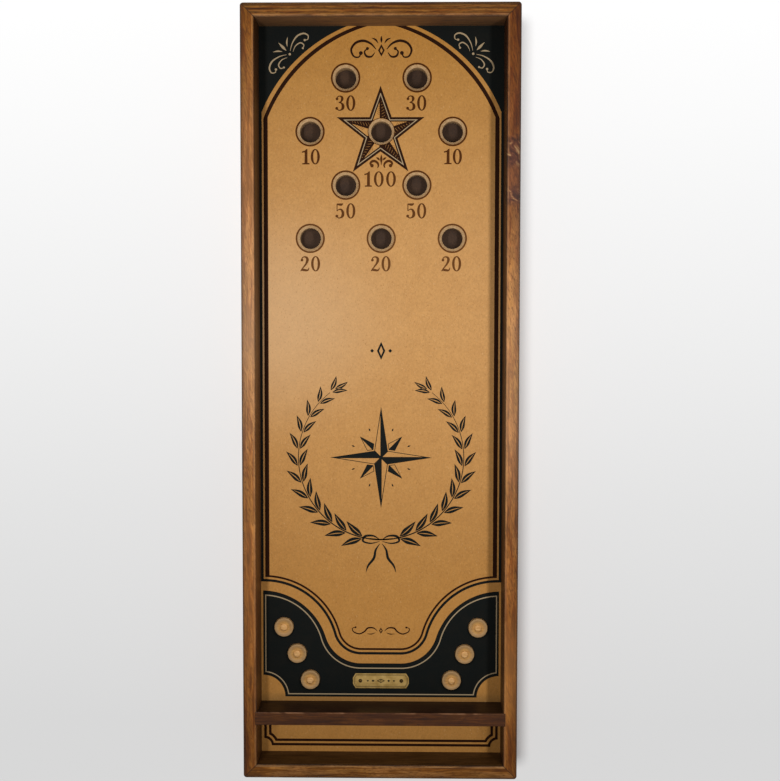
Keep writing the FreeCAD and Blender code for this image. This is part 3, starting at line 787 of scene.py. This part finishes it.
# two touching circles each, as x, y and radius, for the swag and for its echoes below it
FIELD_BENDS = (155.7, -347.6, 100.8, 26.5, -311.8, 33.3)
PARK_BENDS = (159.8, -353.2, 90.0, 26.5, -312.0, 49.5)
HAIR_BENDS = (157.5, -350.3, 80.7, 26.9, -312.9, 55.2)
PARK_SIDE, PARK_BOTTOM = 157.9, -407.2
FIELD_SIDE, LINE_OUT, LINE_IN = 157.1, 154.9, 149.3

outside = swag(FIELD_BENDS, -4.35, SIDE)
under = swag(FIELD_BENDS, -0.95, FIELD_SIDE)
shoulder = arch(-30.8, 293.2, 203.3, FIELD_SIDE)
frame_print = draw("print_corners_and_sides", [
    [(shoulder[-1][0], TOP), (SIDE, TOP)] + outside + [(-SIDE, TOP)]
    + mirror(shoulder) + under[::-1] + shoulder[:-1]] + corner_scrolls)

band_out = arch(-33.9, 291.3, 201.8, LINE_OUT)
band_in = arch(-38.8, 286.8, 203.3, LINE_IN)
line_out = swag(FIELD_BENDS, 1.75, LINE_OUT)
line_in = swag(FIELD_BENDS, 4.4, LINE_IN)
field_print = draw("print_field_line", [
    band_out[::-1] + line_out + mirror(band_out[::-1])
    + mirror(band_in) + line_in[::-1] + band_in])
lay_on_board(frame_print, black_ink)
lay_on_board(field_print, dark_ink)
lay_on_board(draw("print_corner_scrolls", corner_scrolls), stone_ink)
print("arch and field line drawn")

# %% The parking panel and the trough
def park_outline(bends, shift, side, bottom, radius):
    """The parking panel's edge, or a line inside it."""
    edge = swag(bends, shift, side)
    corner = scoop(PARK_SIDE, PARK_BOTTOM, radius, side, bottom)
    return edge + mirror(corner[::-1]) + corner[::-1]


SOCKETS = [(side * x, y) for side in (-1, 1)
           for x, y in ((94.6, -383.4), (112.2, -347.8), (129.8, -312.2))]
hairline = [park_outline(HAIR_BENDS, 0.8, 155.3, -404.2, 33.2),
            park_outline(HAIR_BENDS, -0.7, 153.9, -402.8, 34.6)]
park = [park_outline(PARK_BENDS, 0, PARK_SIDE, PARK_BOTTOM, 29.4)] + hairline
park += [arc(x, y, 13.1, 0, 350, 35) for x, y in SOCKETS]
lay_on_board(draw("print_parking_panel", park), black_ink)
lay_on_board(draw("print_hairline", hairline), stone_ink)

TROUGH_TOP = -428


def trough_line(side, bottom, radius):
    """One edge of a trough line, from the bar down the right side and up the left one."""
    corner = scoop(157.2, -474.3, radius, side, bottom)
    return [(side, TROUGH_TOP)] + corner + mirror(corner) + [(-side, TROUGH_TOP)]


trough = [trough_line(157.2, -474.3, 10.0) + trough_line(153.7, -470.9, 13.4)[::-1],
          trough_line(150.8, -468.3, 16.3) + trough_line(147.4, -464.9, 19.8)[::-1]]
lay_on_board(draw("print_trough_lines", trough), dark_ink)
print("parking panel and trough lines drawn")

# %% [markdown]
# ## Rings and numbers
# A thin brown ring marks each scoring hole. The numbers are old-style figures with thick
# uprights, hair-thin turns and ball ends. Each figure is built once from strokes, one unit
# high, and copied to each place where it is used.

# %% Rings
COLUMN, ROW, FIRST_ROW = 46.8, 69.7, 415.2
RING_INSIDE, RING_OUTSIDE, STAR_RING_OUTSIDE = 17.05, 19.3, 17.9
HOLES = [(column * COLUMN, FIRST_ROW - row * ROW)
         for row, columns in enumerate([(-1, 1), (-2, 0, 2), (-1, 1), (-2, 0, 2)])
         for column in columns]
STAR_HOLE = (0, FIRST_ROW - ROW)

rings = []
for x, y in HOLES:
    for radius in (STAR_RING_OUTSIDE if (x, y) == STAR_HOLE else RING_OUTSIDE, RING_INSIDE):
        rings.append(arc(x, y, radius, 0, 356, 89))
lay_on_board(draw("print_rings", rings), brown_ink)
print(f"{len(HOLES)} rings drawn")

# %% Figures
FIGURE_HEIGHT = 20.0


def oval(half_width, half_height):
    """An oval about the middle of a figure."""
    return [(half_width * x, 0.5 + half_height * y) for x, y in arc(0, 0, 1, 0, 352.5, 47)]


# every figure is a list of parts, and every part a list of outlines
FIGURE_PARTS = {
    "0": [[oval(0.30, 0.505), oval(0.135, 0.435)]],
    "wide 0": [[oval(0.32, 0.505), oval(0.155, 0.435)]],
    "1": [[[(-0.18, 0), (0.30, 0), (0.30, 0.07), (0.165, 0.10), (0.16, 1.0), (0.09, 1.0),
            (-0.01, 0.90), (-0.20, 0.84), (-0.20, 0.75), (-0.02, 0.79), (-0.03, 0.10),
            (-0.18, 0.07)]]],
    "2": [[stroke([(-0.18, 0.74, 0.08), (-0.16, 0.88, 0.07), (-0.02, 0.955, 0.08),
                   (0.14, 0.89, 0.15), (0.18, 0.74, 0.18), (0.10, 0.52, 0.13),
                   (-0.06, 0.30, 0.09), (-0.22, 0.10, 0.07)], 0.09)],
          [stroke([(-0.28, 0.01, 0.03), (-0.18, 0.09, 0.12), (-0.04, 0.09, 0.16),
                   (0.11, 0.065, 0.14), (0.23, 0.10, 0.09), (0.28, 0.25, 0.04)])]],
    "3": [[stroke([(-0.18, 0.77, 0.08), (-0.14, 0.90, 0.07), (0.0, 0.955, 0.075),
                   (0.13, 0.89, 0.14), (0.16, 0.75, 0.17), (0.08, 0.60, 0.09),
                   (-0.07, 0.54, 0.06)], 0.09)],
          [stroke([(-0.07, 0.54, 0.06), (0.10, 0.50, 0.09), (0.205, 0.36, 0.18),
                   (0.20, 0.18, 0.18), (0.08, 0.055, 0.09), (-0.08, 0.045, 0.07),
                   (-0.20, 0.16, 0.08)], 0.0, 0.095)]],
    "5": [[stroke([(-0.18, 0.96, 0.07), (-0.185, 0.75, 0.06), (-0.19, 0.50, 0.06)])],
          [stroke([(-0.20, 0.965, 0.04), (-0.05, 0.92, 0.14), (0.11, 0.92, 0.15),
                   (0.21, 1.0, 0.03)])],
          [stroke([(-0.19, 0.50, 0.06), (-0.05, 0.60, 0.065), (0.11, 0.57, 0.13),
                   (0.20, 0.38, 0.18), (0.18, 0.18, 0.18), (0.05, 0.06, 0.09),
                   (-0.10, 0.045, 0.07), (-0.20, 0.16, 0.08)], 0.0, 0.095)]]}
FIGURE_STEP = {"0": 14.6, "wide 0": 14.8, "1": 12.4, "2": 14.2, "3": 14.2, "5": 14.2}


def build_figure(name, parts):
    """One figure, its parts joined into a single flat mesh."""
    drawn = [draw(f"figure_{name}", [[(x * FIGURE_HEIGHT, y * FIGURE_HEIGHT) for x, y in loop]
                                     for loop in part]) for part in parts]
    figure = drawn[0]
    for part in drawn[1:]:
        combine(figure, part, "UNION")
    clean(figure)
    return figure


FIGURES = {name: build_figure(name, parts) for name, parts in FIGURE_PARTS.items()}


def copy_of(pattern, name):
    """A copy of a finished shape, with a mesh of its own."""
    copy = pattern.copy()
    copy.data = pattern.data.copy()
    copy.name = name
    bpy.context.scene.collection.objects.link(copy)
    return copy


def print_number(name, number, x, y, spacing=0.0):
    """Copies the figures of a number to its place, centred on x and y."""
    left = x - sum(FIGURE_STEP[figure] + spacing for figure in number) / 2
    for index, figure in enumerate(number, start=1):
        step = FIGURE_STEP[figure] + spacing
        lay_on_board(copy_of(FIGURES[figure], f"{name}_figure_{index}"), brown_ink,
                     left + step / 2, y - FIGURE_HEIGHT / 2)
        left += step


for number, y, columns in (("30", 382.5, {"left": -47.2, "right": 45.8}),
                           ("10", 312.9, {"left": -93.0, "right": 93.6}),
                           ("50", 242.1, {"left": -47.2, "right": 46.1}),
                           ("20", 172.8, {"left": -93.7, "middle": -0.7, "right": 92.3})):
    for side, x in columns.items():
        print_number(f"number_{number}_{side}", number, x, y)
print_number("number_100", ("1", "wide 0", "wide 0"), -2.1, 283.7, 1.3)
for figure in FIGURES.values():
    bpy.data.objects.remove(figure)
print("numbers printed")

# %% [markdown]
# ## The star
# A five-pointed star stands round the hole that scores most. It is a barn star: a broad
# outline, a pale gap, and inside it each point split down its middle, one half dark and the
# other half pale, so that the star looks carved. Hatching softens the dark halves.

# %% Star
star = [(-1.0, 405.0), (-15.6, 364.2), (-58.6, 364.2), (-23.4, 336.4), (-37.4, 293.0),
        (-1.0, 319.6), (35.6, 293.6), (21.4, 336.4), (56.6, 364.2), (13.6, 364.2)]
gap_star, inner_star = inset(star, 3.0), inset(star, 4.1)


def between(start, end, share):
    """The place some share of the way from one to another."""
    return [a + (b - a) * share for a, b in zip(start, end)]


def hatch(point, notch, ridge_span, rim_span, reach, count, widths):
    """Thin strokes across one half of a point, from near its ridge to near its rim."""
    lines = []
    for k in range(count):
        share = k / (count - 1)
        ridge = between(STAR_HOLE, point, ridge_span[0] + ridge_span[1] * share)
        rim = between(notch, point, rim_span[0] + rim_span[1] * share)
        a, b = (between(ridge, rim, end) for end in reach)
        lines.append(stroke([(*a, widths[0]), (*between(a, b, 0.5), widths[1]),
                             (*b, widths[2])]))
    return lines


outlines = [star, gap_star, inner_star]
shading = []
for tip in range(0, 10, 2):
    point, next_notch, last_notch = (inner_star[i % 10] for i in (tip, tip + 1, tip - 1))
    outlines.append(inset([point, next_notch, STAR_HOLE], 1.7))
    shading += hatch(point, next_notch, (0.42, 0.24), (0.36, 0.24), (0.28, 0.66), 5,
                     (0.3, 0.5, 0.3))
    outlines += hatch(point, last_notch, (0.30, 0.50), (0.16, 0.60), (0.16, 0.74), 7,
                      (0.40, 0.34, 0.14))
star_print = draw("print_star", outlines)
bpy.ops.object.select_all(action="DESELECT")
bpy.ops.mesh.primitive_cylinder_add(vertices=96, radius=17.5, depth=4,
                                    location=(*STAR_HOLE, 0))
combine(star_print, bpy.context.object, "DIFFERENCE")
clean(star_print)
lay_on_board(star_print, dark_ink)
lay_on_board(draw("print_star_gap", [gap_star, inner_star]), stone_ink)
lay_on_board(draw("print_star_shading", shading), brown_ink)
print("star drawn")

# %% [markdown]
# ## Fleuron and flourishes
# A fleuron sits under the star: two scrolls that end in balls, and three leaves. The head of the
# field has a wider pair of scrolls about a lozenge, and the foot a low flourish like a
# calligrapher's line. Each is half an ornament and its mirror image.

# %% Fleuron and flourishes
def print_pair(name, ink, halves, middle):
    """Prints an ornament from the outlines of its right half and those on its middle line."""
    lay_on_board(draw(name, halves + [mirror(loop) for loop in halves] + middle), ink)


print_pair("print_fleuron", brown_ink, [
    stroke([(4.9, 298.2, 1.2), (3.7, 301.6, 2.2), (5.4, 305.2, 3.0), (9.2, 307.2, 3.4),
            (12.8, 306.2, 3.2), (14.2, 303.4, 2.6), (12.2, 301.2, 2.0)], 0.0, 2.3),
    stroke([(2.3, 308.2, 1.0), (4.2, 310.4, 2.7), (6.8, 311.8, 0.4)])],
    [stroke([(0, 301.8, 0.6), (0, 305.4, 1.6), (0, 308.6, 3.2), (0, 312.0, 2.6),
             (0, 315.8, 0.4)])])

print_pair("print_head_scrolls", dark_ink, [
    stroke([(7.0, 452.0, 1.0), (14.0, 459.4, 2.6), (24.0, 463.0, 3.4), (34.0, 460.0, 3.2),
            (39.4, 451.6, 2.8), (36.2, 443.2, 2.3), (29.6, 442.0, 1.9), (26.8, 447.2, 1.5)],
           0.0, 2.5),
    stroke([(8.5, 448.0, 0.8), (13.0, 442.6, 2.3), (19.4, 443.2, 2.8), (22.0, 448.8, 2.0),
            (18.2, 453.0, 1.4)], 0.0, 2.0),
    stroke([(4.2, 459.8, 0.5), (7.4, 464.2, 2.4), (12.4, 466.6, 0.5)])],
    [lozenge(0, 450.6, 4.4, 8.0), lozenge(0, 450.6, 1.9, 3.8),
     stroke([(0, 460.4, 0.6), (0, 464.6, 2.8), (0, 469.2, 0.5)])])

print_pair("print_foot_flourish", dark_ink, [
    stroke([(4.6, -317.6, 0.5), (10.0, -313.4, 1.7), (17.6, -313.6, 2.1), (22.0, -318.2, 1.9),
            (29.0, -321.4, 1.7), (36.6, -318.6, 1.5), (38.0, -314.0, 1.1), (34.0, -312.6, 0.9)],
           0.0, 1.3),
    stroke([(7.4, -319.8, 0.4), (12.6, -321.6, 1.3), (18.4, -321.2, 0.4)])],
    [lozenge(0, -317.0, 2.6, 4.2), lozenge(0, -317.0, 1.0, 1.8)])
print("fleuron and flourishes drawn")

# %% [markdown]
# ## The compass rose and the laurel wreath
# The middle of the field has a compass rose in an open laurel wreath, both traditional. A point of
# the rose is a kite split down its length, one half solid. A wreath is two stems on a circle,
# with pairs of leaves that shrink towards the tips. Each leaf has a pale midrib, left open
# at its root, so that it reads as an engraved leaf and not as a blob.

# %% Compass rose
ROSE_Y = -84
LONG, SHORT, VALLEY = 68, 40, 9.0

rose = [[(0, LONG), (-VALLEY, VALLEY), (-LONG, 0), (-VALLEY, -VALLEY),
         (0, -LONG), (VALLEY, -VALLEY), (LONG, 0), (VALLEY, VALLEY)]]
for quarter in (0, 90, 180, 270):
    root, wing, tip = (14.4, 0), (19.5, 6.6), (SHORT, 0)
    rose += [turned(inset([(0, 0), (0, LONG), (-VALLEY, VALLEY)], 0.9), quarter),
             turned([root, (wing[0], -wing[1]), tip, wing], quarter + 45),
             turned(inset([root, tip, wing], 0.8), quarter + 45)]
    rose += [turned(lozenge(0, 40, 1.1, 2.6), quarter + aside) for aside in (-22.5, 22.5)]
rose = [turned(loop, 0, 0, ROSE_Y) for loop in rose]
lay_on_board(draw("print_compass_rose", rose), black_ink)
print(f"{len(rose)} outlines in the rose")

# %% Laurel wreath
STEM_RADIUS = 110
FIRST_ANGLE, LAST_ANGLE, PAIRS = -78, 52, 12


def laurel_leaf(length, bend):
    """A leaf that points along X, and its open midrib."""
    width = length * 0.30
    blade = stroke([(0, 0, 0.7), (length * 0.28, bend * 0.6, width * 0.92),
                    (length * 0.58, bend, width * 0.86), (length, bend * 0.4, 0.15)])
    rib = stroke([(length * 0.10, bend * 0.2, 0.35), (length * 0.45, bend * 0.9, 1.1),
                  (length * 0.84, bend * 0.8, 0.2)])
    return [blade, rib]


def at_angle(x, y, radius, angle):
    """The place at an angle on a circle."""
    return arc(x, y, radius, angle, angle, 1)[0]


branch = [stroke([(*at_angle(0, 0, STEM_RADIUS, angle), 1.9 - 1.2 * i / 14)
                  for i, angle in enumerate(range(-98, 54, 10))])]
for pair in range(PAIRS):
    share = pair / (PAIRS - 1)
    angle = FIRST_ANGLE + (LAST_ANGLE - FIRST_ANGLE) * share
    on_stem = at_angle(0, 0, STEM_RADIUS, angle)
    for lean, bend in ((-33, 1.5), (33, -1.5)):
        heading = angle + 90 + lean
        branch += [turned(loop, heading, *at_angle(*on_stem, 3.3, heading))
                   for loop in laurel_leaf(29 - 9 * share, bend)]
stem_tip = at_angle(0, 0, STEM_RADIUS, LAST_ANGLE + 4.5)
branch += [turned(loop, LAST_ANGLE + 98, *stem_tip) for loop in laurel_leaf(19, 1.0)]
branch = [turned(loop, 0, 0, ROSE_Y) for loop in branch]
lay_on_board(draw("print_laurel_right", branch), black_ink)
lay_on_board(draw("print_laurel_left", [mirror(loop) for loop in branch]), black_ink)

bow_loop = stroke([(1.5, -194, 0.6), (10, -189, 2.2), (21, -189.5, 3.2), (24, -196, 2.6),
                   (14, -199, 1.8), (1.8, -196.5, 0.6)])
bow_tail = stroke([(1.5, -199.5, 0.6), (7, -208, 2.6), (9.5, -219, 3.4), (17, -229, 2.6),
                   (20, -238, 0.4)])
spark = [lozenge(0, 58, 5.5, 12), lozenge(0, 58, 2.6, 6.4), lozenge(-12, 58, 2.6, 2.6),
         lozenge(12, 58, 2.6, 2.6)]
lay_on_board(draw("print_bow", [bow_loop, mirror(bow_loop), bow_tail, mirror(bow_tail)]
                  + spark), black_ink)
print("wreath and bow drawn")

# %% [markdown]
# ## Brass for the name plate
# The plate is thin sheet brass, lacquered and brushed along its length. The scratches are 0.15 mm
# wide and run for centimetres. Its pins are brass nails whose heads have gone darker.
# A groove runs round the plate inside its edge, filled with black wax; it is drawn as black
# lines laid on the plate, with small lozenges and rings along the middle.

# %% Brass
def brass(name, tones, rough, sizes):
    """Lacquered brass with marks of the given sizes in mm."""
    material, shader = start_material(name, rough, metallic=1.0)
    marks = noise(sizes, 2.0)
    bloom = noise((9, 9, 9), 2.0)
    tone = add_node("MapRange", [add_node("Math", [marks, bloom], operation="ADD"), 0.7, 1.3])
    metal = add_node("ValToRGB", [tone], [(0.15, tones[0]), (0.85, tones[1])])
    spread = add_node("MapRange", [marks, 0.3, 0.7, rough - 0.08, rough + 0.1])
    feed(shader, {"Roughness": spread})
    dress(shader, metal, marks, 0.2, 0.05)
    return material


finish_node("name_plate", brass("brushed_brass", ("94763F", "B5965C"), 0.38,
                                (30, 0.3, 0.3)))
finish_node("plate_pins", brass("aged_brass", ("3A2A14", "5A4424"), 0.45, (0.8, 0.8, 0.8)))

plate_low, plate_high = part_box("name_plate")
PLATE_Y = (plate_low.y + plate_high.y) / 2 / MM
plate = [(37.5, -4), (37.5, 4), (33.9, 10), (-33.9, 10), (-37.5, 4), (-37.5, -4),
         (-33.9, -10), (33.9, -10)]
groove = [inset(plate, 1.5), inset(plate, 2.0), inset(plate, 2.7), inset(plate, 2.95),
          lozenge(0, 0, 5.5, 2.8), lozenge(0, 0, 3.9, 1.6), lozenge(0, 0, 1.4, 0.7)]
for side in (-1, 1):
    groove += [lozenge(side * 10.5, 0, 2.2, 1.5), lozenge(side * 17.5, 0, 1.8, 1.2),
               arc(side * 27.5, 0, 2.5, 0, 345, 23)]
lay_on_board(draw("plate_border", groove), black_ink, 0, PLATE_Y, plate_high.z)
print("plate and pins finished")

# %% [markdown]
# ## The turned counters
# A counter is turned from beech: a disc with a raised rim round a dished ring, and a peg with a
# domed head through its middle. The disc starts as a cylinder. Its top face is inset again and
# again, each time with a step up or down, which draws the profile as a lathe tool would. The
# peg is a second cylinder whose top is inset along a quarter circle. Turned wood shows fine
# lathe rings about 0.4 mm apart, so both carry a UV map in metres from their own axis.

# %% Turned beech
def turned_beech(name, dark, light):
    """Beech turned across its grain, with lathe rings about the piece's own axis."""
    material, shader = start_material(name, 0.5, specular=0.3)
    from_axis = add_node("VectorMath", [add_node("TexCoord").outputs["UV"]],
                         operation="LENGTH").outputs["Value"]
    rings = add_node("TexNoise", {"W": from_axis, "Scale": 1 / (0.45 * MM), "Detail": 1.0},
                     noise_dimensions="1D")
    grain = noise((9, 1.3, 1.3), 3.0, 0.3)
    wood = add_node("ValToRGB", [grain], [(0.32, dark), (0.60, light)])
    wood = tint(wood, add_node("MapRange", [rings, 0.3, 0.7, 0.90, 1.06]))
    # painted sheen: the disc turns greyer towards its rim, as a rim that catches the light does
    rim_sheen = add_node("MapRange", [from_axis, 6.6 * MM, 10.6 * MM, 0.0, 0.5])
    wood = add_node("Mix", {0: rim_sheen, 6: wood, 7: "8E7C64"}, data_type="RGBA")
    dress(shader, wood, rings, 0.2, 0.12)
    return material


disc_beech = turned_beech("turned_beech_disc", "B48044", "CE9C57")
# the knob is lighter than the disc, partly paler beech and partly a painted highlight
knob_beech = turned_beech("turned_beech_knob", "D09856", "EEBA7A")


# %% Turning
LATHE_SIDES = 72
SHARP = math.radians(35)        # edges that bend more than this stay crisp


def turn(name, radius, low, high, top_steps, bottom_steps):
    """A lathe piece on the Z axis: a cylinder with its two ends inset by steps in mm."""
    bpy.ops.object.select_all(action="DESELECT")
    bpy.ops.mesh.primitive_cylinder_add(vertices=LATHE_SIDES, radius=radius * MM,
                                        depth=(high - low) * MM,
                                        location=(0, 0, (low + high) / 2 * MM))
    piece = bpy.context.object
    piece.name = name
    settle(piece)
    for steps, up in ((top_steps, 1), (bottom_steps, -1)):
        bpy.ops.object.mode_set(mode="EDIT")
        bpy.ops.mesh.select_mode(type="FACE")
        bpy.ops.mesh.select_all(action="DESELECT")
        bpy.ops.object.mode_set(mode="OBJECT")
        for face in piece.data.polygons:
            face.select = face.normal.z * up > 0.9
        bpy.ops.object.mode_set(mode="EDIT")
        for inwards, outwards in steps:
            bpy.ops.mesh.inset(thickness=inwards * MM, depth=outwards * MM)
        bpy.ops.object.mode_set(mode="OBJECT")
    layer = piece.data.uv_layers.active or piece.data.uv_layers.new()
    for loop in piece.data.loops:
        layer.data[loop.index].uv = piece.data.vertices[loop.vertex_index].co.xy
    bpy.ops.object.shade_smooth_by_angle(angle=SHARP)
    return piece


def rounding(radius, steps):
    """Inset steps that draw a quarter circle inwards and outwards."""
    turns = [math.pi / 2 * i / steps for i in range(steps + 1)]
    return [(radius * (math.cos(a) - math.cos(b)), radius * (math.sin(b) - math.sin(a)))
            for a, b in zip(turns, turns[1:])]


SEAT, SHOULDER, CROWN = 21.0, 29.2, 29.6
TURN_EACH = 47          # degrees from one counter to the next, so no two show the same grain
disc_top = rounding(0.8, 5) + [
    (1.6, 0.0), (0.3, -0.1), (1.0, -0.35), (1.0, -0.25), (0.4, -0.1), (1.5, 0.0),
    (0.6, 0.1), (0.4, 0.0), (0.3, -0.1)]
disc = turn("counter_disc", 12.5, SEAT + 0.5, SHOULDER, disc_top, rounding(0.5, 3) + [(2, 0)])
knob = turn("counter_knob", 4.5, 26.5, CROWN, rounding(1.8, 7), rounding(0.4, 2) + [(1, 0)])

for number, (x, y) in enumerate(SOCKETS, start=1):
    for part, pattern, wood, slot in (("disc", disc, disc_beech, "turned_beech"),
                                      ("knob", knob, knob_beech, "knob_beech")):
        copy = copy_of(pattern, f"turned_{part}_{number}")
        copy.rotation_euler.z = math.radians(TURN_EACH * number)
        copy.location = (x * MM, y * MM, 0)
        settle(copy)
        copy.data.materials.append(wood)
        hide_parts(f"counter_{part}_{number}")
        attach(copy, f"counter_{number}")
for pattern in (disc, knob):
    bpy.data.objects.remove(pattern)
print("six counters turned")
